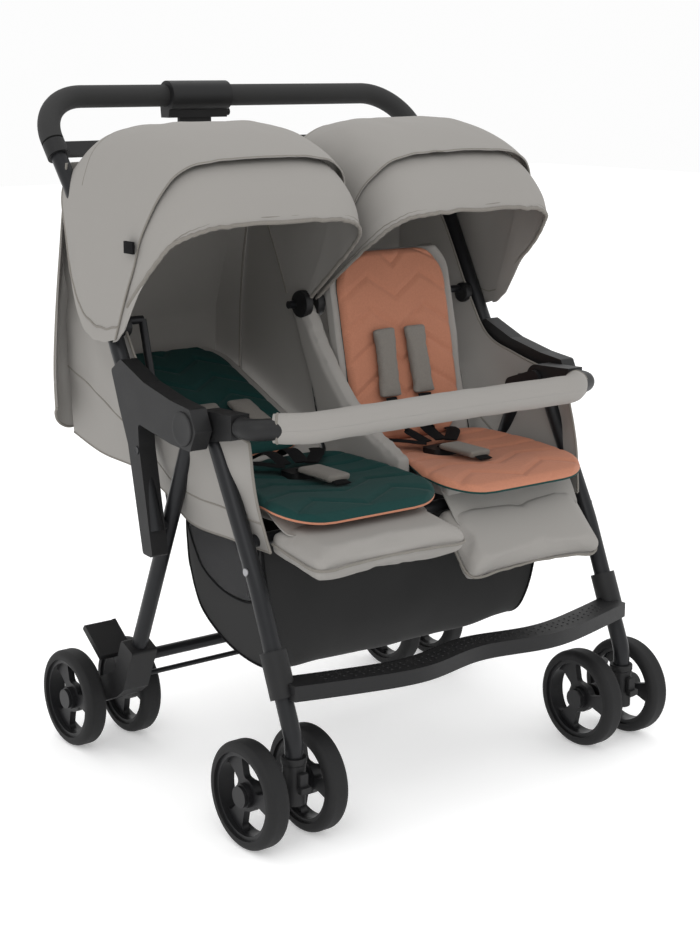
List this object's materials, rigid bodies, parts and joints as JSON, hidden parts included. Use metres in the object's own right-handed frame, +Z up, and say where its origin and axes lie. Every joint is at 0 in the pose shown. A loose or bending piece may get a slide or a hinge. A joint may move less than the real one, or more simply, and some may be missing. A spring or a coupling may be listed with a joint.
{
  "type": "twin stroller",
  "caption": "Side-by-side folding twin stroller with swivel twin front wheels, reclining padded seats, hooded canopies, bumper bar, footrest bar and basket.",
  "frame": {"origin": "on the ground at the middle of the stroller's bounding box", "axes": "+Z up, the longest extent; +Y from the front to the rear, the shortest extent; +X across the two seats"},
  "size_m": [0.762, 0.664, 1.008],
  "materials": {
    "tyre": "matt black tyre",
    "wheel_plastic": "satin black moulding",
    "frame_tube": "satin charcoal powder coat",
    "seat_tube": "black anodised",
    "steel_pin": "zinc plated",
    "black_plastic": "fine textured black moulding",
    "grip_foam": "closed-cell foam",
    "bumper_core": "satin black moulding",
    "grey_cloth": "plain woven polyester",
    "basket_cloth": "black woven polyester",
    "teal_cloth": "quilted liner",
    "peach_cloth": "quilted liner",
    "webbing": "woven strap"
  },
  "bodies": {
    "rear_frame": {"rear_leg_left": "frame_tube", "rear_leg_right": "frame_tube", "rear_cross_tube": "frame_tube", "rear_axle_brackets": "black_plastic", "rear_axles": "steel_pin", "fold_pivots": "steel_pin"},
    "brake": {"brake_pedal_left": "black_plastic", "brake_pedal_right": "black_plastic", "brake_rod": "steel_pin"},
    "seat_module": {"front_leg_left": "frame_tube", "front_leg_right": "frame_tube", "bumper_sockets": "black_plastic", "footrest_bar": "black_plastic", "seat_frame_tubes": "seat_tube", "seat_left": "grey_cloth", "seat_right": "grey_cloth", "seat_divider": "grey_cloth", "side_panels": "grey_cloth", "basket": "basket_cloth", "canopy_left": "grey_cloth", "canopy_right": "grey_cloth", "canopy_pivots": "steel_pin", "buckles": "black_plastic"},
    "bumper": {"bumper_bar": "bumper_core"},
    "push_frame": {"push_bar": "frame_tube", "handle_grip": "grip_foam", "handle_brace": "black_plastic", "fold_housing": "black_plastic", "armrest_left": "black_plastic", "armrest_right": "black_plastic"},
    "trigger": {"fold_trigger": "black_plastic"},
    "lock": {"lock_button": "black_plastic"},
    "backrest_left": {"backrest_left": "grey_cloth"},
    "calf_left": {"calf_rest_left": "grey_cloth"},
    "visor_left": {"visor_left": "grey_cloth"},
    "caster_left": {"caster_left": "black_plastic"},
    "swivel_lock_left": {"swivel_lock_left": "black_plastic"},
    "button_left": {"buckle_button_left": "black_plastic"},
    "front_left_inner_wheel": {"front_left_inner_tyre": "tyre", "front_left_inner_rim": "wheel_plastic"},
    "front_left_outer_wheel": {"front_left_outer_tyre": "tyre", "front_left_outer_rim": "wheel_plastic"},
    "rear_left_inner_wheel": {"rear_left_inner_tyre": "tyre", "rear_left_inner_rim": "wheel_plastic"},
    "rear_left_outer_wheel": {"rear_left_outer_tyre": "tyre", "rear_left_outer_rim": "wheel_plastic"},
    "backrest_right": {"backrest_right": "grey_cloth"},
    "calf_right": {"calf_rest_right": "grey_cloth"},
    "visor_right": {"visor_right": "grey_cloth"},
    "caster_right": {"caster_right": "black_plastic"},
    "swivel_lock_right": {"swivel_lock_right": "black_plastic"},
    "button_right": {"buckle_button_right": "black_plastic"},
    "front_right_inner_wheel": {"front_right_inner_tyre": "tyre", "front_right_inner_rim": "wheel_plastic"},
    "front_right_outer_wheel": {"front_right_outer_tyre": "tyre", "front_right_outer_rim": "wheel_plastic"},
    "rear_right_inner_wheel": {"rear_right_inner_tyre": "tyre", "rear_right_inner_rim": "wheel_plastic"},
    "rear_right_outer_wheel": {"rear_right_outer_tyre": "tyre", "rear_right_outer_rim": "wheel_plastic"}
  },
  "joints": [
    {"name": "push_bar_fold", "type": "hinge", "parent": "seat_module", "child": "push_frame", "pos_m": [0, -0.098, 0.55], "axis": [1, 0, 0], "range_deg": [0, 158]},
    {"name": "leg_fold", "type": "hinge", "parent": "rear_frame", "child": "seat_module", "pos_m": [0, -0.098, 0.55], "axis": [1, 0, 0], "range_deg": [0, 36]},
    {"name": "brake_press", "type": "hinge", "parent": "rear_frame", "child": "brake", "pos_m": [0, 0.1415, 0.118], "axis": [-1, 0, 0], "range_deg": [0, 12]},
    {"name": "bumper_release", "type": "slide", "parent": "seat_module", "child": "bumper", "axis": [0, -1, 0], "range_m": [0, 0.04]},
    {"name": "trigger_squeeze", "type": "slide", "parent": "push_frame", "child": "trigger", "axis": [0, 0, 1], "range_m": [0, 0.008], "stiffness_N_per_m": 250, "springref_m": -0.004},
    {"name": "lock_press", "type": "slide", "parent": "push_frame", "child": "lock", "axis": [-1, 0, 0], "range_m": [0, 0.004], "stiffness_N_per_m": 150, "springref_m": -0.002},
    {"name": "recline_left", "type": "hinge", "parent": "seat_module", "child": "backrest_left", "pos_m": [0, 0.042, 0.438], "axis": [1, 0, 0], "range_deg": [0, 55]},
    {"name": "calf_left", "type": "hinge", "parent": "seat_module", "child": "calf_left", "pos_m": [0, -0.1755, 0.4], "axis": [1, 0, 0], "range_deg": [0, 37.5]},
    {"name": "visor_left", "type": "hinge", "parent": "seat_module", "child": "visor_left", "pos_m": [0, 0.1145, 0.67], "axis": [1, 0, 0], "range_deg": [-35, 0]},
    {"name": "swivel_left", "type": "hinge", "parent": "seat_module", "child": "caster_left", "pos_m": [-0.314, -0.2865, 0.12], "axis": [0, 0, 1], "continuous": true},
    {"name": "swivel_lock_left", "type": "slide", "parent": "caster_left", "child": "swivel_lock_left", "axis": [0, 0, 1], "range_m": [0, 0.006]},
    {"name": "buckle_left", "type": "slide", "parent": "seat_module", "child": "button_left", "axis": [0, 0, -1], "range_m": [0, 0.0025], "stiffness_N_per_m": 150, "springref_m": -0.002},
    {"name": "front_left_inner_wheel_spin", "type": "hinge", "parent": "caster_left", "child": "front_left_inner_wheel", "pos_m": [-0.265, -0.2525, 0.075], "axis": [1, 0, 0], "continuous": true},
    {"name": "front_left_outer_wheel_spin", "type": "hinge", "parent": "caster_left", "child": "front_left_outer_wheel", "pos_m": [-0.363, -0.2525, 0.075], "axis": [1, 0, 0], "continuous": true},
    {"name": "rear_left_inner_wheel_spin", "type": "hinge", "parent": "rear_frame", "child": "rear_left_inner_wheel", "pos_m": [-0.265, 0.2215, 0.075], "axis": [1, 0, 0], "continuous": true},
    {"name": "rear_left_outer_wheel_spin", "type": "hinge", "parent": "rear_frame", "child": "rear_left_outer_wheel", "pos_m": [-0.363, 0.2215, 0.075], "axis": [1, 0, 0], "continuous": true},
    {"name": "recline_right", "type": "hinge", "parent": "seat_module", "child": "backrest_right", "pos_m": [0, 0.042, 0.438], "axis": [1, 0, 0], "range_deg": [-55, 0]},
    {"name": "calf_right", "type": "hinge", "parent": "seat_module", "child": "calf_right", "pos_m": [0, -0.1755, 0.4], "axis": [1, 0, 0], "range_deg": [-37.5, 0]},
    {"name": "visor_right", "type": "hinge", "parent": "seat_module", "child": "visor_right", "pos_m": [0, 0.1145, 0.67], "axis": [1, 0, 0], "range_deg": [-35, 0]},
    {"name": "swivel_right", "type": "hinge", "parent": "seat_module", "child": "caster_right", "pos_m": [0.314, -0.2865, 0.12], "axis": [0, 0, 1], "continuous": true},
    {"name": "swivel_lock_right", "type": "slide", "parent": "caster_right", "child": "swivel_lock_right", "axis": [0, 0, 1], "range_m": [0, 0.006]},
    {"name": "buckle_right", "type": "slide", "parent": "seat_module", "child": "button_right", "axis": [0, 0, -1], "range_m": [0, 0.0025], "stiffness_N_per_m": 150, "springref_m": -0.002},
    {"name": "front_right_inner_wheel_spin", "type": "hinge", "parent": "caster_right", "child": "front_right_inner_wheel", "pos_m": [0.265, -0.2525, 0.075], "axis": [1, 0, 0], "continuous": true},
    {"name": "front_right_outer_wheel_spin", "type": "hinge", "parent": "caster_right", "child": "front_right_outer_wheel", "pos_m": [0.363, -0.2525, 0.075], "axis": [1, 0, 0], "continuous": true},
    {"name": "rear_right_inner_wheel_spin", "type": "hinge", "parent": "rear_frame", "child": "rear_right_inner_wheel", "pos_m": [0.265, 0.2215, 0.075], "axis": [1, 0, 0], "continuous": true},
    {"name": "rear_right_outer_wheel_spin", "type": "hinge", "parent": "rear_frame", "child": "rear_right_outer_wheel", "pos_m": [0.363, 0.2215, 0.075], "axis": [1, 0, 0], "continuous": true}
  ],
  "couplings": [
    {"joint": "leg_fold", "follows": "push_bar_fold", "ratio": 0.22785}
  ]
}
